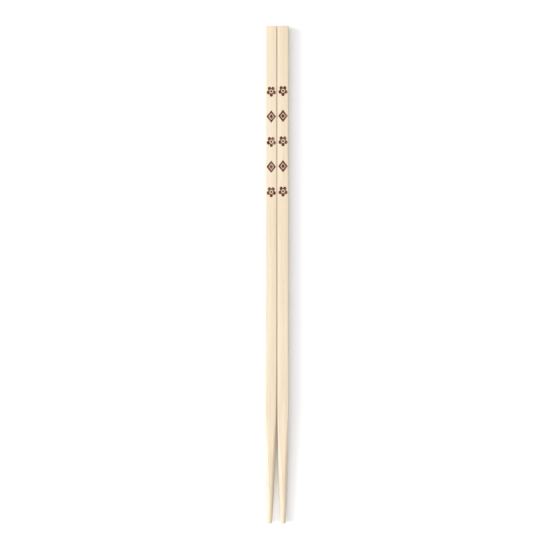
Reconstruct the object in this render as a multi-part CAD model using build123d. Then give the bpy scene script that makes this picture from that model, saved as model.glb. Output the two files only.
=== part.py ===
"""A pair of bamboo chopsticks with square handles and round tips, lying side by side.

Each stick is one length of bamboo, made as the real one is: a square bar is planed on four sides towards
the eating end, its long corners are rolled round, and a cone cutter then turns that end round. Where the
cone runs out over the planed faces it leaves a pointed flat on each, as on a sharpened pencil.

Frame: the sticks lie along Y with their tips towards -Y, on the plane Z = 0, and the origin is
midway between the sticks and midway along them.
"""
import os

from build123d import *

# Driving dimensions, in millimetres
STICK_LENGTH = 240.0  # from the sawn butt to the tip
HANDLE_WIDTH = 5.5  # across the flats of the square handle
CORNER_RADIUS = 0.6  # of the four long corners
BUTT_EASE = 0.3  # rounding of the sawn butt's rim
TAPER_LENGTH = 46.5  # the handle's sides and the planed sides would meet this far from the tip
TAPER_BLEND = 19.5  # the bend between them is a curve that starts and ends this far from there
TAPER_TIP_WIDTH = 3.15  # across the planed sides where they would reach the tip
TURNED_LENGTH = 55.0  # the cone cutter first meets the long corners this far from the tip
TIP_DIAMETER = 2.5  # of the turned cone at the tip
TIP_ROUND = 0.5  # rounding of the tip's rim
STICK_GAP = 0.15  # between the facing sides of the two sticks

# Worked out from the driving dimensions
HALF_WIDTH = HANDLE_WIDTH / 2
TIP_RADIUS = TIP_DIAMETER / 2
CORNER_REACH = 2**0.5 * (HALF_WIDTH - CORNER_RADIUS) + CORNER_RADIUS
CONE_SLOPE = (CORNER_REACH - TIP_RADIUS) / TURNED_LENGTH
TAPER_SLOPE = (HALF_WIDTH - TAPER_TIP_WIDTH / 2) / TAPER_LENGTH
STICK_PITCH = HANDLE_WIDTH + STICK_GAP
OVERRUN = TIP_RADIUS  # the cuts run on this far past the ends of the stick


def planed_bar():
    """The square bar standing on its tip: straight sides, a parabolic bend, then planed sides past the tip."""
    bend = Vector(HALF_WIDTH, TAPER_LENGTH)
    butt_corner = Vector(HALF_WIDTH, STICK_LENGTH)
    bend_start = bend + Vector(0, TAPER_BLEND)
    bend_end = bend + Vector(-TAPER_SLOPE, -1).normalized() * TAPER_BLEND
    low_corner = bend + Vector(-TAPER_SLOPE, -1) * (TAPER_LENGTH + OVERRUN)
    half_outline = Line((0, STICK_LENGTH), butt_corner) + Line(butt_corner, bend_start)
    half_outline += Bezier(bend_start, bend, bend_end)
    half_outline += Line(bend_end, low_corner)
    half_outline += Line(low_corner, (0, low_corner.Y))
    outline = half_outline + mirror(half_outline, about=Plane.YZ)
    slab = extrude(Plane.XZ * make_face(outline), HANDLE_WIDTH, both=True)
    return slab & (Rot(Z=90) * slab)


def ease_bar(bar):
    """The bar with its four long corners rolled round and the rim of its butt eased."""
    long_corners = [edge for edge in bar.edges() if edge.bounding_box().size.Z > CORNER_RADIUS]
    rolled = fillet(long_corners, CORNER_RADIUS)
    butt_rim = rolled.edges().group_by(Axis.Z)[-1]
    return fillet(butt_rim, BUTT_EASE)


def turned_cone():
    """The cone that the cutter leaves, from the round-rimmed tip to past the butt."""
    top = STICK_LENGTH + OVERRUN
    top_radius = TIP_RADIUS + CONE_SLOPE * top
    outline = Polyline((0, 0), (TIP_RADIUS, 0), (top_radius, top), (0, top), close=True)
    profile = make_face(outline)
    tip_rim = profile.vertices().sort_by_distance((TIP_RADIUS, 0))[0]
    return revolve(Plane.XZ * fillet(tip_rim, TIP_ROUND), Axis.Z)


def make_stick():
    """One stick lying along Y on the plane Z = 0."""
    standing = ease_bar(planed_bar()) & turned_cone()
    return Pos(Y=-STICK_LENGTH / 2, Z=HALF_WIDTH) * Rot(X=-90) * standing


os.makedirs("parts", exist_ok=True)
stick = make_stick()
for node, side in (("left_stick", -1), ("right_stick", 1)):
    export_step(Pos(X=side * STICK_PITCH / 2) * stick, f"parts/{node}.step")
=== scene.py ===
# %% [markdown]
# A pair of bamboo chopsticks lies side by side on a white table, seen from straight above. Each stick has a
# square handle with rolled corners, and towards the eating end it is planed thinner and turned round. The
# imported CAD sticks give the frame: every new piece is in metres and lies where they lie. The lesson works
# out one fine skin for each stick with numpy, grows bamboo through it with shader nodes, prints a row of
# small ornaments on the handles, and then sets the table, the light and the camera.

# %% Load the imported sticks
import math

import bpy
import numpy as np
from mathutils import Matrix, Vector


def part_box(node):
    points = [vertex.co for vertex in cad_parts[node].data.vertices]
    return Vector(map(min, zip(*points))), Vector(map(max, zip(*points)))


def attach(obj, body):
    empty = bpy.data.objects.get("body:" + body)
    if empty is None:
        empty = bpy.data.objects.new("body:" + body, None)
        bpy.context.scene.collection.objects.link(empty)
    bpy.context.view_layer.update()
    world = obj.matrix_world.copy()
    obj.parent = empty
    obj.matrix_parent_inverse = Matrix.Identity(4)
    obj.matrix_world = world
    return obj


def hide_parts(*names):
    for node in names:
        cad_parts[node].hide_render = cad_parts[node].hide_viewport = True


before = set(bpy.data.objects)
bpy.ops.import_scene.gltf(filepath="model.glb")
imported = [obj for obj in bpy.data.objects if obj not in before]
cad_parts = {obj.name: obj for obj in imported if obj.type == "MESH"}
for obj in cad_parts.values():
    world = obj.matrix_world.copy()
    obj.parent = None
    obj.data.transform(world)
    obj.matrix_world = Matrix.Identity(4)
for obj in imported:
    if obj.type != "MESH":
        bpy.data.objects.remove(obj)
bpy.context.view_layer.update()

print("Packed nodes:", ", ".join(sorted(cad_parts)))

# %% [markdown]
# A chopstick starts as a square bar of bamboo. It is planed on four sides towards the eating end, its long
# corners are rolled round, and a cone cutter turns that end round. The length, the width and the axis come
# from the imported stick's box. The other sizes could be measured on its mesh, but named ones are easier to
# follow. They are the CAD stick's own, so the skin keeps its form to a few hundredths of a millimetre.

# %% Sizes of one stick
MM = 0.001
STICKS = ("left_stick", "right_stick")

stick_low, stick_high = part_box(STICKS[0])
STICK_LENGTH = stick_high.y - stick_low.y
HALF_WIDTH = (stick_high.x - stick_low.x) / 2
TIP_Y = stick_low.y
AXIS_Z = (stick_low.z + stick_high.z) / 2

CORNER_RADIUS = 0.6 * MM  # of the four long corners
BUTT_EASE = 0.3 * MM  # rounding of the sawn butt's rim
TAPER_LENGTH = 46.5 * MM  # the handle's sides and the planed sides would meet this far from the tip
TAPER_BLEND = 19.5 * MM  # the bend between them starts and ends this far from there
TAPER_TIP_HALF = 1.575 * MM  # half the width across the planed sides at the tip
TURNED_LENGTH = 55.0 * MM  # the cone cutter first meets the long corners this far from the tip
TIP_RADIUS = 1.25 * MM  # of the turned cone at the tip
TIP_ROUND = 0.5 * MM  # rounding of the tip's rim

BEND_START = TAPER_LENGTH + TAPER_BLEND
CORNER_REACH = math.sqrt(2) * (HALF_WIDTH - CORNER_RADIUS) + CORNER_RADIUS
CONE_SLOPE = (CORNER_REACH - TIP_RADIUS) / TURNED_LENGTH
TAPER_SLOPE = (HALF_WIDTH - TAPER_TIP_HALF) / TAPER_LENGTH
print(f"Stick: {STICK_LENGTH / MM:.1f} mm long, {2 * HALF_WIDTH / MM:.2f} mm square")

# %% [markdown]
# Every section of the stick is the part that two tools leave: the plane leaves a rounded square and the
# cone cutter leaves a circle, and the wood is what lies inside both. A boolean could cut one from the other,
# but its triangles would be long and thin. Here each tool is a formula for how far the wood reaches from the
# axis, and the smaller reach wins, so the whole skin is one regular grid.

# %% How far each tool leaves the wood
def planed_reach(along):
    """Half the width across the flats: constant, then less by a parabola over the bend, then by a taper."""
    past_start = BEND_START - along
    in_bend = np.clip(past_start, 0, 2 * TAPER_BLEND)
    in_taper = np.maximum(past_start - 2 * TAPER_BLEND, 0)
    return HALF_WIDTH - TAPER_SLOPE * (in_bend**2 / (4 * TAPER_BLEND) + in_taper)


def turned_reach(along):
    """Radius of the cone: tip radius plus slope times length, drawn in by a quarter circle at the rim."""
    short_of_rim = np.clip(TIP_ROUND - along, 0, TIP_ROUND)
    rim = np.sqrt(TIP_ROUND**2 - short_of_rim**2) - TIP_ROUND
    return TIP_RADIUS + CONE_SLOPE * along + rim


def butt_inset(along):
    """How far the rim of the butt is eased inwards: a quarter circle over the last part of the stick."""
    past_rim = np.clip(along - (STICK_LENGTH - BUTT_EASE), 0, BUTT_EASE)
    return BUTT_EASE - np.sqrt(BUTT_EASE**2 - past_rim**2)


def square_reach(half, corner, angle):
    """From the axis to a rounded square: half / cos to a flat, or the far root of the corner's circle."""
    folded = np.abs((angle + math.pi / 4) % (math.pi / 2) - math.pi / 4)
    centre = half - corner
    towards = centre * (np.cos(folded) + np.sin(folded))
    aside = centre * (np.cos(folded) - np.sin(folded))
    to_corner = towards + np.sqrt(np.maximum(corner**2 - aside**2, 0))
    return np.where(half * np.tan(folded) < centre, half / np.cos(folded), to_corner)


def soft_smaller(first, second, softness):
    """The smaller reach, its crease rounded: (a + b - root((a - b) squared + softness squared)) / 2."""
    return (first + second - np.sqrt((first - second)**2 + softness**2)) / 2


tip_half, handle_half = planed_reach(np.array([0.0, STICK_LENGTH])) / MM
print(f"Planed half width: {tip_half:.3f} mm at the tip, {handle_half:.3f} mm at the handle")

# %% [markdown]
# The grid has one ring of points for each place along the stick. An even grid would need many times as many
# points to keep the corners crisp, so rings crowd together where the form turns: over the rounded tip, along
# the taper, where the flats run out to a point, and over the eased butt. Around the stick, points crowd at
# the corners. The two ends are closed by rings that shrink to a pole.

# %% The grid of the skin
POINTS_AROUND = 192
CORNERS = 4
CORNER_CROWDING = 0.45  # 0 spaces the points evenly, and 1 would bring them together at the corners
RIM_RINGS = 10
TAPER_RINGS = 190
HANDLE_RINGS = 120
TIP_END_RINGS = 6
BUTT_END_RINGS = 9


def ring_angles():
    """Angles from straight up, with a sine added so that steps are shorter at the four corners."""
    even = np.linspace(-math.pi, math.pi, POINTS_AROUND + 1)[:-1]
    return even + CORNER_CROWDING / CORNERS * np.sin(CORNERS * even)


def ring_places():
    """Distances from the tip, and how far each ring is shrunk: below 1 only on the two flat ends."""
    quarter = np.linspace(0, math.pi / 2, RIM_RINGS)
    tip_rim = TIP_ROUND * (1 - np.cos(quarter))
    tapered = np.linspace(TIP_ROUND, BEND_START, TAPER_RINGS)[1:]
    handle = np.linspace(BEND_START, STICK_LENGTH - BUTT_EASE, HANDLE_RINGS)[1:]
    butt_rim = STICK_LENGTH - BUTT_EASE + BUTT_EASE * np.sin(quarter[1:])
    body = np.concatenate([tip_rim, tapered, handle, butt_rim])
    tip_shrink = np.linspace(0, 1, TIP_END_RINGS)[1:-1]
    butt_shrink = np.linspace(1, 0, BUTT_END_RINGS)[1:-1]
    along = np.concatenate([0 * tip_shrink, body, 0 * butt_shrink + STICK_LENGTH])
    shrink = np.concatenate([tip_shrink, np.ones_like(body), butt_shrink])
    return along, shrink


ANGLES = ring_angles()
ALONG, SHRINK = ring_places()
print(f"Grid: {len(ALONG)} rings of {len(ANGLES)} points")

# %% [markdown]
# No bamboo stick is quite straight or quite flat. Planing leaves shallow hollows a hundredth of a millimetre
# deep that run with the fibres, and the thin end springs a little to one side once it is cut. A brush could
# sculpt both, but a formula gives the same stick at every run. The hollows are a few waves around the stick
# that drift slowly along it, and only ever take wood away. The lean grows towards the tip, with the square
# of the way there.

# %% The skin of one stick
CREASE_SOFTNESS = 0.05 * MM  # rounding where the cone runs out over a flat
HOLLOW_DEPTH = 0.014 * MM
HOLLOW_WAVES = 7
HOLLOW_LOBES = (3, 22)  # fewest hollows of a wave around the stick, and one more than the most
HOLLOW_DRIFT = 1.5  # most that a wave turns to either side, in radians
HOLLOW_PACES = (0.5, 2.5)  # how often it turns to and fro over the length
LEAN_LENGTH = 100 * MM


def planing_hollows(random):
    """Depth of the hollows, 0 to 1: the mean of waves around the stick whose phase drifts along it."""
    lobes = random.integers(*HOLLOW_LOBES, HOLLOW_WAVES)[:, None, None]
    phase = random.uniform(0, 2 * math.pi, HOLLOW_WAVES)[:, None, None]
    drift = random.uniform(-HOLLOW_DRIFT, HOLLOW_DRIFT, HOLLOW_WAVES)[:, None, None]
    pace = random.uniform(*HOLLOW_PACES, HOLLOW_WAVES)[:, None, None]
    travel = 2 * math.pi * pace * ALONG[:, None] / STICK_LENGTH
    wave = np.cos(lobes * ANGLES + phase + drift * np.sin(travel + phase))
    return 0.5 + 0.5 * wave.mean(axis=0)


def stick_skin(axis_x, tip_lean, seed):
    """Rings of points: the reach of the two tools in each direction, less the hollows, moved by the lean."""
    random = np.random.default_rng(seed)
    along = ALONG[:, None]
    inset = butt_inset(along)
    square = square_reach(planed_reach(along) - inset, CORNER_RADIUS - inset, ANGLES)
    reach = soft_smaller(square, turned_reach(along), CREASE_SOFTNESS)
    reach = (reach - HOLLOW_DEPTH * planing_hollows(random)) * SHRINK[:, None]
    lean = tip_lean * np.clip(1 - along / LEAN_LENGTH, 0, 1)**2
    x = axis_x + lean + reach * np.sin(ANGLES)
    y = TIP_Y + along + 0 * ANGLES
    z = AXIS_Z + reach * np.cos(ANGLES)
    return np.stack([x, y, z], axis=-1)


sample = stick_skin(0.0, 0.0, 1)
print(f"Skin: {np.ptp(sample[..., 0]) / MM:.3f} mm wide, {np.ptp(sample[..., 1]) / MM:.3f} mm long")

# %% [markdown]
# A bake of the finish needs a flat map of the skin. Blender could unwrap it by itself, but unrolled whole, a
# stick is eleven times longer than it is round, and its map would waste most of a square picture. Here the
# map is cut into three lengths that lie side by side, each as wide as the stick is round, with the seam
# under the stick where nobody looks.

# %% Unroll the skin
BAKE_COLUMNS = 3
BAKE_MARGIN = 0.012  # share left bare around each column
POLE_ROOM = HALF_WIDTH / 4  # length of the map that the middle of each end takes


def shares_around(rings):
    """Share of the way round at each point, and 1 back at the seam: summed steps of the middle ring."""
    outline = rings[len(ALONG) // 2]
    steps = np.linalg.norm(np.roll(outline, -1, axis=0) - outline, axis=1)
    return np.concatenate([[0], np.cumsum(steps)]) / steps.sum()


def unrolled_lengths():
    """Length of skin from the tip's pole to each ring: summed steps along the stick and across its ends."""
    across_ends = np.abs(np.diff(SHRINK)) * HALF_WIDTH
    return np.concatenate([[0], np.cumsum(np.diff(ALONG) + across_ends)]) + POLE_ROOM


UNROLLED = unrolled_lengths()
WHOLE_LENGTH = UNROLLED[-1] + POLE_ROOM
COLUMN_LENGTH = WHOLE_LENGTH / BAKE_COLUMNS
MAP_HEIGHT = COLUMN_LENGTH * (1 + 4 * BAKE_MARGIN)  # with spare room for faces that cross a column's end
RING_COLUMNS = np.minimum((UNROLLED / COLUMN_LENGTH).astype(int), BAKE_COLUMNS - 1)


def map_place(around, length, column):
    """Place on the square map: the share around across a column, and the rest of the length up it."""
    u = (column + BAKE_MARGIN + (1 - 2 * BAKE_MARGIN) * around) / BAKE_COLUMNS
    v = BAKE_MARGIN + (length - column * COLUMN_LENGTH) / MAP_HEIGHT
    return np.stack(np.broadcast_arrays(u, v), axis=-1)


print(f"Map: {WHOLE_LENGTH / MM:.1f} mm of skin in {BAKE_COLUMNS} lengths of {COLUMN_LENGTH / MM:.1f} mm")

# %% [markdown]
# A mesh is a list of points and a list of faces that name them by number. A loop could add them one by one,
# but whole arrays are shorter and faster: the numbers of a ring, moved on by one point and by one ring, give
# every quad at once. A fan of triangles closes each end, so the skin is watertight, and smooth shading hides
# the facets.

# %% Mesh of the skin
def ring_quads(ring_count, points_around):
    """Quads between rings: a point, the next one round, and the same two on the next ring, backwards."""
    ring = np.arange(ring_count - 1)[:, None] * points_around
    here = np.arange(points_around)
    after = (here + 1) % points_around
    further = ring + points_around
    return np.stack([ring + here, ring + after, further + after, further + here], axis=-1).reshape(-1, 4)


def skin_faces():
    """Quads between the rings, then fans of triangles from the pole of each end."""
    here = np.arange(POINTS_AROUND)
    after = (here + 1) % POINTS_AROUND
    last = (len(ALONG) - 1) * POINTS_AROUND
    tip_pole = np.full(POINTS_AROUND, last + POINTS_AROUND)
    tip_fan = np.stack([tip_pole, after, here], axis=-1)
    butt_fan = np.stack([tip_pole + 1, last + here, last + after], axis=-1)
    return ring_quads(len(ALONG), POINTS_AROUND).tolist() + tip_fan.tolist() + butt_fan.tolist()


def skin_map(rings):
    """The map place of every face corner, in the order of skin_faces."""
    around = shares_around(rings)
    first, second = around[:-1], around[1:]
    middle = (first + second) / 2
    low, high = UNROLLED[:-1, None], UNROLLED[1:, None]
    quads = ((first, low), (second, low), (second, high), (first, high))
    tip_fan = ((middle, 0.0), (second, UNROLLED[0]), (first, UNROLLED[0]))
    butt_fan = ((middle, WHOLE_LENGTH), (first, UNROLLED[-1]), (second, UNROLLED[-1]))
    places = []
    for corners, column in ((quads, RING_COLUMNS[:-1, None]), (tip_fan, 0), (butt_fan, BAKE_COLUMNS - 1)):
        faces = np.stack([map_place(share, length, column) for share, length in corners], axis=-2)
        places.append(faces.reshape(-1, 2))
    return np.concatenate(places)


def smooth_object(name, points, faces):
    """An object at the origin: a smooth-shaded mesh of these points and faces."""
    mesh = bpy.data.meshes.new(name)
    mesh.from_pydata(points.tolist(), [], faces)
    mesh.polygons.foreach_set("use_smooth", np.ones(len(mesh.polygons), dtype=bool))
    made = bpy.data.objects.new(name, mesh)
    bpy.context.scene.collection.objects.link(made)
    return made


def skin_object(name, rings):
    """The closed skin of one stick: its rings, a pole in the middle of each end ring, and its map."""
    poles = np.stack([rings[0].mean(axis=0), rings[-1].mean(axis=0)])
    skin = smooth_object(name, np.concatenate([rings.reshape(-1, 3), poles]), skin_faces())
    bake_map = skin.data.uv_layers.new(name="OFBake")
    bake_map.data.foreach_set("uv", skin_map(rings).ravel())
    skin.data.validate()
    return skin


print(f"Faces: {len(skin_faces())} for one skin, and the map has {len(skin_map(sample))} corners")

# %% [markdown]
# The two sticks come from the same bar stock, but no two are alike: each gets its own seed and its own lean.
# A second stick could be a plain copy, but the eye finds such twins at once. The left one leans away from
# the other at its thin end, so their tips stand a little further apart than the handles. Each skin stands
# for one packed stick, rides on the only body there is, and takes the bamboo finish.

# %% Both sticks
TIP_LEANS = {"left_stick": -0.85 * MM, "right_stick": 0.1 * MM}
SEEDS = {"left_stick": 12, "right_stick": 13}

AXIS_X = {}
SKINS = {}
for node in STICKS:
    stick_low, stick_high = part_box(node)
    AXIS_X[node] = (stick_low.x + stick_high.x) / 2
    SKINS[node] = skin_object(node + "_skin", stick_skin(AXIS_X[node], TIP_LEANS[node], SEEDS[node]))
    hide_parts(node)
    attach(SKINS[node], "root")
    print(SKINS[node].name, "has", len(SKINS[node].data.polygons), "faces")

# %% [markdown]
# Node graphs are easier to read as sums. They could be wired by hand in the shader editor, but a formula in
# one line shows what it does. This small class wraps one socket of a graph, and adding, multiplying or
# dividing two of them adds a Math node and gives the new socket back. Any other node comes from one method,
# which sets the node's settings first and then fills its sockets.

# %% Shader sums as Python
class Field:
    """A value that changes over a surface: one socket of a node graph, with arithmetic."""

    def __init__(self, graph, socket=None):
        self.graph = graph
        self.socket = socket

    def node(self, kind, settings, sockets, output=0):
        """Add a node, with its settings first and then its sockets' values or links."""
        made = self.graph.nodes.new(kind)
        for name, value in settings.items():
            setattr(made, name, value)
        for name, value in sockets.items():
            if isinstance(value, Field):
                self.graph.links.new(value.socket, made.inputs[name])
            else:
                made.inputs[name].default_value = value
        return Field(self.graph, made.outputs[output])

    def math(self, operation, *values):
        """A Math node on these values."""
        return self.node("ShaderNodeMath", {"operation": operation}, dict(enumerate(values)))

    def rise(self, start, end):
        """0 below start, 1 above end, and a smooth step between them."""
        limits = {"Value": self, "From Min": start, "From Max": end}
        return self.node("ShaderNodeMapRange", {"interpolation_type": "SMOOTHSTEP"}, limits)

    def mix(self, first, second):
        """The first colour where this value is 0, and the second where it is 1."""
        # A Mix node has sockets of the same names for numbers and colours, so these go by their numbers.
        return self.node("ShaderNodeMix", {"data_type": "RGBA"}, {0: self, 6: first, 7: second}, output=2)

    def vector(self, operation, *values):
        """A Vector Math node on these vectors."""
        return self.node("ShaderNodeVectorMath", {"operation": operation}, dict(enumerate(values)))

    def parts(self):
        """The three numbers of a vector."""
        split = self.node("ShaderNodeSeparateXYZ", {}, {0: self})
        return [Field(self.graph, output) for output in split.socket.node.outputs]

    def feed(self, shader, name):
        """Link this value to a shader's socket."""
        self.graph.links.new(self.socket, shader.inputs[name])

    def __add__(self, other):
        return self.math("ADD", self, other)

    def __sub__(self, other):
        return self.math("SUBTRACT", self, other)

    def __rsub__(self, other):
        return self.math("SUBTRACT", other, self)

    def __mul__(self, other):
        return self.math("MULTIPLY", self, other)

    def __truediv__(self, other):
        return self.math("DIVIDE", self, other)

    def __pow__(self, other):
        return self.math("POWER", self, other)

    def __abs__(self):
        return self.math("ABSOLUTE", self)

    __radd__ = __add__
    __rmul__ = __mul__


print("Shader sums ready")

# %% [markdown]
# Bamboo is a grass: hard bundles of fibre run the whole length of the stem through paler, softer ground.
# On a planed side they show as fine brownish streaks, and on the sawn butt as dots, closer together towards
# the outer side of the stem. Painted lines would stop at the corners, so the pattern is solid instead: every
# fibre has a fixed place in the stem's cross-section, where it only wavers a little along the stick.

# %% Place in the stem
WAVER = 0.6  # width of the band that a fibre drifts in, in millimetres as all sizes of the finish are
WAVER_LENGTH = 48.0
WAVER_DETAIL = 1.0
WAVER_SHIFT = 0.5  # so that fibres drift outwards and around in their own ways
OUTWARD_CROWDING = 0.06
OUTWARD_STEP = 3.7  # each next seed takes its stick from a place in the stem this much further out
AROUND_STEP = 5.3  # and this much further round


def stick_place(graph, axis_x):
    """Place in millimetres: across the stick, along it from the tip, and up from its axis."""
    coordinates = graph.node("ShaderNodeTexCoord", {}, {}, output="Object")
    from_tip = graph.vector("SUBTRACT", coordinates, (axis_x, TIP_Y, AXIS_Z))
    return graph.vector("MULTIPLY", from_tip, (1 / MM, 1 / MM, 1 / MM)).parts()


def waver(along, shift):
    """Sideways drift of the fibres in millimetres: a slow noise along the stick."""
    slow = {"W": along / WAVER_LENGTH + shift, "Scale": 1.0, "Detail": WAVER_DETAIL}
    return (along.node("ShaderNodeTexNoise", {"noise_dimensions": "1D"}, slow) - 0.5) * WAVER


def stem_section(across, along, up, seed):
    """Place in the stem's cross-section: outwards, with the scale growing that way, and around."""
    outwards = across * (1 + OUTWARD_CROWDING * across) + waver(along, seed) + OUTWARD_STEP * seed
    around = up + waver(along, seed + WAVER_SHIFT) + AROUND_STEP * seed
    return outwards, around


print(f"Fibres drift within {WAVER} mm, over about {WAVER_LENGTH} mm of the stick")

# %% [markdown]
# Three patterns grow from that place. Cells in the flat cross-section are the bundles, and since they don't
# change along the stick, they come out as dots on the butt and as streaks on the sides. Noise that is drawn
# out along the stick gives fibres, tone bands or clouds, as its grain is set. Cells drawn out in the same
# way are the vessels that the plane cut open. A picture of wood could be wrapped on instead, but it would
# show its seams.

# %% Fibres of the bamboo
BUNDLE_SPACING = 0.62
BUNDLE_SCATTER = 0.85  # 0 would set the bundles in rows
BUNDLE_EDGE = (0.10, 0.42)  # from the core of a bundle to the ground, in spacings
GRAIN_DETAIL = 2.0
VESSEL_GRAIN = (0.42, 5.0)  # width and length
VESSEL_EDGE = (0.10, 0.26)  # from the core of a fleck to the ground, in widths


def fibre_bundles(section):
    """1 in the middle of a bundle and 0 outside it: distance to the nearest point of a flat cell pattern."""
    flat = section[0].node("ShaderNodeCombineXYZ", {}, dict(enumerate(section)))
    cells = {"Vector": flat, "Scale": 1 / BUNDLE_SPACING, "Randomness": BUNDLE_SCATTER}
    distance = flat.node("ShaderNodeTexVoronoi", {"voronoi_dimensions": "2D"}, cells)
    return 1 - distance.rise(*BUNDLE_EDGE)


def drawn_place(section, along, grain):
    """A place for patterns whose grain is so many millimetres wide and long: each part over its size."""
    outwards, around = section
    width, length = grain
    drawn = {0: outwards / width, 1: along / length, 2: around / width}
    return along.node("ShaderNodeCombineXYZ", {}, drawn)


def drawn_noise(section, along, grain):
    """Noise, 0 to 1, with that grain."""
    place = drawn_place(section, along, grain)
    return along.node("ShaderNodeTexNoise", {}, {"Vector": place, "Scale": 1.0, "Detail": GRAIN_DETAIL})


def open_vessels(section, along):
    """1 in short dark flecks, where the plane cut a vessel open: cells drawn out along the stick."""
    place = drawn_place(section, along, VESSEL_GRAIN)
    distance = along.node("ShaderNodeTexVoronoi", {}, {"Vector": place, "Scale": 1.0})
    return 1 - distance.rise(*VESSEL_EDGE)


print(f"Fibre bundles about {BUNDLE_SPACING} mm apart")

# %% [markdown]
# A row of five small ornaments is printed on each handle in red-brown ink: blossoms with five petals, and
# between them lozenges. They could be decals on little planes, but ink that soaks into the wood belongs in
# the finish itself, so each motif is a formula of the place on the upper side.

# %% Two motifs
INK_EDGE = 0.07  # half the soft edge of a stroke
PETALS = 5
PETAL_ROOT = 0.75  # radius between two petals
PETAL_REACH = 1.50  # from there to the end of a petal
PETAL_BREADTH = 0.42  # a power: the smaller it is, the broader the petals
BLOSSOM_STRETCH = 1.15  # length over width
BARE_RADIUS = 0.84  # of the bare ring around the dot
DOT_RADIUS = 0.52
LOZENGE_HALF_WIDTH = 2.30
LOZENGE_HALF_LENGTH = 3.00
LOZENGE_BAND = 0.86  # width of the outer band
LOZENGE_CORE = 1.08  # depth at which the core begins


def inside(amount):
    """1 where an amount in millimetres is above 0, with an edge as soft as ink on wood."""
    return amount.rise(-INK_EDGE, INK_EDGE)


def blossom(across, lengthwise):
    """Petals: a radius that swells with the cosine of half as many angles, around a dot in a bare ring."""
    stretched = lengthwise / BLOSSOM_STRETCH
    radius = across.math("SQRT", across * across + stretched * stretched)
    angle = across.math("ARCTAN2", across, stretched)
    swell = abs(angle.math("COSINE", angle * (PETALS / 2)))**PETAL_BREADTH
    petals = inside(PETAL_ROOT + PETAL_REACH * swell - radius) * inside(radius - BARE_RADIUS)
    return petals + inside(DOT_RADIUS - radius)


def lozenge(across, lengthwise):
    """Nested lozenges: a band and a core of 1 - |x| / a - |y| / b, counted in millimetres from the edge."""
    slant = 1 / math.hypot(1 / LOZENGE_HALF_WIDTH, 1 / LOZENGE_HALF_LENGTH)
    share = 1 - abs(across) / LOZENGE_HALF_WIDTH - abs(lengthwise) / LOZENGE_HALF_LENGTH
    depth = share * slant
    return inside(depth) * inside(LOZENGE_BAND - depth) + inside(depth - LOZENGE_CORE)


print(f"Motifs: a blossom with {PETALS} petals, and a lozenge {2 * LOZENGE_HALF_LENGTH} mm long")

# %% [markdown]
# The press sets the motifs in a row at even steps from the butt. Five separate formulas could do that, but
# the fraction of the way along a step repeats one motif for ever, and the whole steps tell which of the two
# comes next and where the row ends. A little below the top of the handle the ink stops.

# %% Row of ornaments
LENGTH_MM = STICK_LENGTH / MM
HALF_MM = HALF_WIDTH / MM
MOTIF_COUNT = 5
MOTIF_PITCH = 12.1
FIRST_MOTIF = {"left_stick": 31.6, "right_stick": 31.3}  # from the butt
INK_DROP = 0.2  # how far down from the top the ink goes


def ornament_ink(across, along, up, first_motif):
    """1 where ink lies: the motif of each step along the row, on the upper side only."""
    row = (LENGTH_MM - first_motif + MOTIF_PITCH / 2 - along) / MOTIF_PITCH
    lengthwise = (row.math("FRACT", row) - 0.5) * MOTIF_PITCH
    odd = row.math("MODULO", row.math("FLOOR", row), 2.0)
    motif = blossom(across, lengthwise) * (1 - odd) + lozenge(across, lengthwise) * odd
    in_row = row.math("GREATER_THAN", row, 0.0) * row.math("LESS_THAN", row, float(MOTIF_COUNT))
    on_top = up.rise(HALF_MM - INK_DROP, HALF_MM - INK_DROP / 2)
    return motif * in_row * on_top


print(f"Ornaments: {MOTIF_COUNT} on each stick, {MOTIF_PITCH} mm apart")

# %% [markdown]
# The colour joins the patterns of the wood. The ground is a warm cream that turns pinker to one side, with
# faint tone bands along the fibres and clouds of straw. The bundles are a little browner, most of all where
# their fibres are dense, and the open vessels are darker. The sawn ends drink light, so they are browner
# too. One noise through a colour ramp could pass for wood from afar, but close by it has no structure.

# %% Colour of the wood
CREAM = (0.745, 0.655, 0.503, 1.0)
PINK = (0.700, 0.573, 0.438, 1.0)
STRAW = (0.698, 0.591, 0.420, 1.0)
BUNDLE = (0.470, 0.342, 0.200, 1.0)
VESSEL = (0.370, 0.260, 0.148, 1.0)
FIBRE_GRAIN = (0.14, 30.0)  # width and length
BAND_GRAIN = (1.1, 110.0)
CLOUD_GRAIN = (7.0, 35.0)
VESSEL_FIBRES = (0.45, 0.60)  # vessels show where fibres rise through this
END_DEPTH = 0.12  # of the wood that the saw roughened

SIDE_PINK = 0.75  # pink added from the left side of each stick to its right side
BAND_PINK = 0.5  # more of it in a band
PINK_START = 0.12  # pink shows above this
BAND_EDGE = (0.34, 0.66)
CLOUD_STRAW = 0.50
CLOUD_EDGE = (0.42, 0.72)
BUNDLE_TINT = 0.06  # brown of a bundle at its least
FIBRE_TINT = 0.40  # more of it where its fibres are dense
SAWN_TINT = 0.28  # and on the sawn ends
END_TINT = 0.10  # brown of the ground on the sawn ends
VESSEL_TINT = 0.38


def wood_grain(across, along, up, seed):
    """The patterns that the finish draws on, each from 0 to 1."""
    section = stem_section(across, along, up, seed)
    fibres = drawn_noise(section, along, FIBRE_GRAIN)
    return {
        "bundles": fibre_bundles(section),
        "fibres": fibres,
        "bands": drawn_noise(section, along, BAND_GRAIN),
        "clouds": drawn_noise(section, along, CLOUD_GRAIN),
        "vessels": open_vessels(section, along) * fibres.rise(*VESSEL_FIBRES),
        "ends": 1 - along.rise(0.0, END_DEPTH) * (LENGTH_MM - along).rise(0.0, END_DEPTH),
    }


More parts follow.
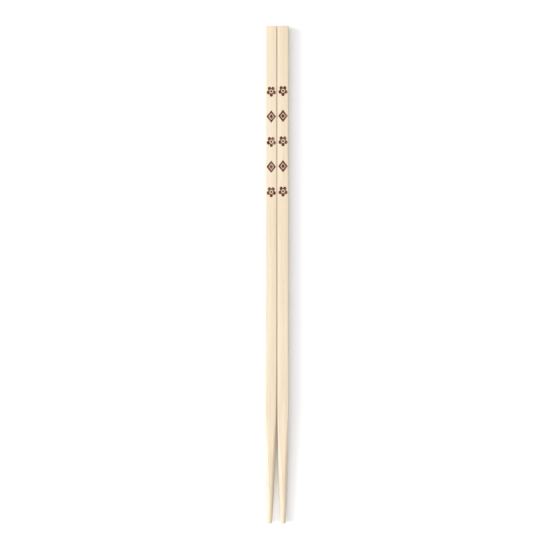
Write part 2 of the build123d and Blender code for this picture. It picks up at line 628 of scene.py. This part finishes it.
def wood_colour(across, grain):
    """Cream that turns pink to the right and straw in clouds, with brown bundles and darker flecks in it."""
    in_bands = grain["bands"].rise(*BAND_EDGE) * BAND_PINK
    # pinker from the left side of each stick to its right side
    outwards = across.rise(-HALF_MM, HALF_MM) * SIDE_PINK + in_bands - PINK_START
    in_clouds = grain["clouds"].rise(*CLOUD_EDGE) * CLOUD_STRAW
    ground = in_clouds.mix(outwards.mix(CREAM, PINK), STRAW)
    brown = BUNDLE_TINT + FIBRE_TINT * grain["fibres"] + SAWN_TINT * grain["ends"]
    streaks = grain["bundles"] * brown + END_TINT * grain["ends"]
    return (grain["vessels"] * VESSEL_TINT).mix(streaks.mix(ground, BUNDLE), VESSEL)


print("Wood: cream", CREAM[:3], "to pink", PINK[:3], "and straw", STRAW[:3])

# %% [markdown]
# Ink lies in broken strokes, since fibres that stand proud take more of it than the pores between them. Bare
# planed bamboo is nearly matt, and its fibres give it a fine lengthwise ridge. Ridges of a few hundredths of
# a millimetre could be in the mesh, but that would take millions of faces, so a bump stands for them.

# %% Finish of the sticks
INK = (0.095, 0.010, 0.002, 1.0)
INK_LEAST = 0.58  # share of the ink that the pores take
INK_FIBRES = (0.50, 0.70)  # fibres and bands that rise through this take the rest
INK_BANDS = 0.5  # how much the bands count there
MATT = {"ground": 0.56, "fibres": 0.16, "ends": 0.12, "ink": 0.06}  # what each adds to the roughness
SHEEN_LEVEL = 0.3
RIDGE = {"fibres": 0.6, "bundles": 0.4}  # what each adds to the relief
VESSEL_PIT = 0.6  # and what a vessel takes from it
RELIEF = 0.025 * MM
RELIEF_STRENGTH = 0.6


def bamboo_finish(name, axis_x, seed, first_motif):
    """A bare planed bamboo finish with printed ornaments, grown around one stick's axis."""
    material = bpy.data.materials.new(name)
    material.use_nodes = True
    shader = material.node_tree.nodes["Principled BSDF"]
    across, along, up = stick_place(Field(material.node_tree), axis_x)
    grain = wood_grain(across, along, up, seed)
    fibres = grain["fibres"]

    taken = (fibres + grain["bands"] * INK_BANDS).rise(*INK_FIBRES)
    ink = ornament_ink(across, along, up, first_motif) * (INK_LEAST + (1 - INK_LEAST) * taken)
    ink.mix(wood_colour(across, grain), INK).feed(shader, "Base Color")

    shader.inputs["Specular IOR Level"].default_value = SHEEN_LEVEL
    matt = MATT["ground"] + MATT["fibres"] * fibres + MATT["ends"] * grain["ends"] + MATT["ink"] * ink
    matt.feed(shader, "Roughness")

    ridges = RIDGE["fibres"] * fibres + RIDGE["bundles"] * grain["bundles"]
    height = ridges - VESSEL_PIT * grain["vessels"]
    relief = {"Height": height, "Distance": RELIEF, "Strength": RELIEF_STRENGTH}
    across.node("ShaderNodeBump", {}, relief).feed(shader, "Normal")
    return material


for node in STICKS:
    finish = bamboo_finish(node + "_bamboo", AXIS_X[node], SEEDS[node], FIRST_MOTIF[node])
    SKINS[node].data.materials.append(finish)
    print(finish.name, "has", len(finish.node_tree.nodes), "nodes")

# %% [markdown]
# The table is one white sheet, lit faintly from below as a photographer's table is, so that shadows on it
# stay pale. A flat plane would end in a hard horizon in low views, so the sheet is a wide shallow dish: flat
# in the middle and rising smoothly far away. It isn't part of the object.

# %% White table
WHITE = (1.0, 1.0, 1.0, 1.0)
TABLE_FLAT = 2.5  # radius of the flat middle, in metres
TABLE_EDGE = 5.0
TABLE_RISE = 0.9
TABLE_POINTS = 96
TABLE_RINGS = 24
TABLE_WHITE = (0.82, 0.82, 0.82, 1.0)
TABLE_MATT = 0.9
TABLE_GLOW = 0.08


def dish():
    """Rings of points around the middle: height is the square of the share of the way up the rim."""
    turn = np.linspace(0, 2 * math.pi, TABLE_POINTS + 1)[:-1]
    rim = np.linspace(TABLE_FLAT, TABLE_EDGE, TABLE_RINGS)
    radius = np.concatenate([[TABLE_FLAT / 2], rim])[:, None]
    height = TABLE_RISE * np.clip((radius - TABLE_FLAT) / (TABLE_EDGE - TABLE_FLAT), 0, 1)**2
    return np.stack([radius * np.cos(turn), radius * np.sin(turn), height + 0 * turn], axis=-1)


table_rings = dish()
table_middle = [list(range(TABLE_POINTS))]
table_quads = ring_quads(len(table_rings), TABLE_POINTS)[:, ::-1]  # backwards, so that they face up
table = smooth_object("table", table_rings.reshape(-1, 3), table_middle + table_quads.tolist())
table_finish = bpy.data.materials.new("white_table")
table_finish.use_nodes = True
table_shader = table_finish.node_tree.nodes["Principled BSDF"]
table_shader.inputs["Base Color"].default_value = TABLE_WHITE
table_shader.inputs["Roughness"].default_value = TABLE_MATT
table_shader.inputs["Emission Color"].default_value = WHITE
table_shader.inputs["Emission Strength"].default_value = TABLE_GLOW
table.data.materials.append(table_finish)
print("Table:", 2 * TABLE_EDGE, "m across")

# %% [markdown]
# Two softboxes light the table: a very broad one overhead, and a smaller one low on the left. The low one
# brightens the left corners, leaves the right sides of the round ends in shade, and throws a soft shadow to
# the right. Area lamps would fade along the sticks, so both are suns with a wide disc, which light every
# place alike. A sun's strength is set by how bright it alone would make a level sheet of pure white.

# %% Light
SKY = 0.22  # white light from all around
LAMPS = {  # angles in degrees
    "overhead_softbox": {"white": 0.72, "from_zenith": 9, "spread": 80},
    "left_softbox": {"white": 0.33, "from_zenith": 57, "spread": 32},
}

world = bpy.data.worlds.new("studio")
world.use_nodes = True
world.node_tree.nodes["Background"].inputs["Color"].default_value = WHITE
world.node_tree.nodes["Background"].inputs["Strength"].default_value = SKY
bpy.context.scene.world = world

for name, lamp in LAMPS.items():
    light = bpy.data.lights.new(name, "SUN")
    light.energy = lamp["white"] * math.pi / math.cos(math.radians(lamp["from_zenith"]))
    light.angle = math.radians(lamp["spread"])
    softbox = bpy.data.objects.new(name, light)
    softbox.rotation_euler = (0.0, -math.radians(lamp["from_zenith"]), 0.0)
    bpy.context.scene.collection.objects.link(softbox)
    print(f"{name}: strength {light.energy:.2f}")
bpy.context.scene.view_settings.view_transform = "Standard"

# %% [markdown]
# The camera looks straight down with the butts at the top of the picture. It could be placed by eye, but
# here its distance follows from the width that the picture covers at the height of the sticks' upper sides,
# and from a long lens, which keeps the sides of the sticks from showing.

# %% Camera
PICTURE_WIDTH = 260.0 * MM
PICTURE_CENTRE = (-3.43 * MM, 2.40 * MM)
LENS = 100.0  # in millimetres, as Blender counts lenses
SENSOR = 36.0
NEAREST = 10.0 * MM  # nothing closer to the lens than this is drawn

camera_data = bpy.data.cameras.new("overhead")
camera_data.lens = LENS
camera_data.sensor_width = SENSOR
camera_data.clip_start = NEAREST
camera = bpy.data.objects.new("overhead", camera_data)
camera.location = (*PICTURE_CENTRE, 2 * AXIS_Z + PICTURE_WIDTH * LENS / SENSOR)
bpy.context.scene.collection.objects.link(camera)
bpy.context.scene.camera = camera
print(f"Camera: {camera.location.z:.3f} m above the table")
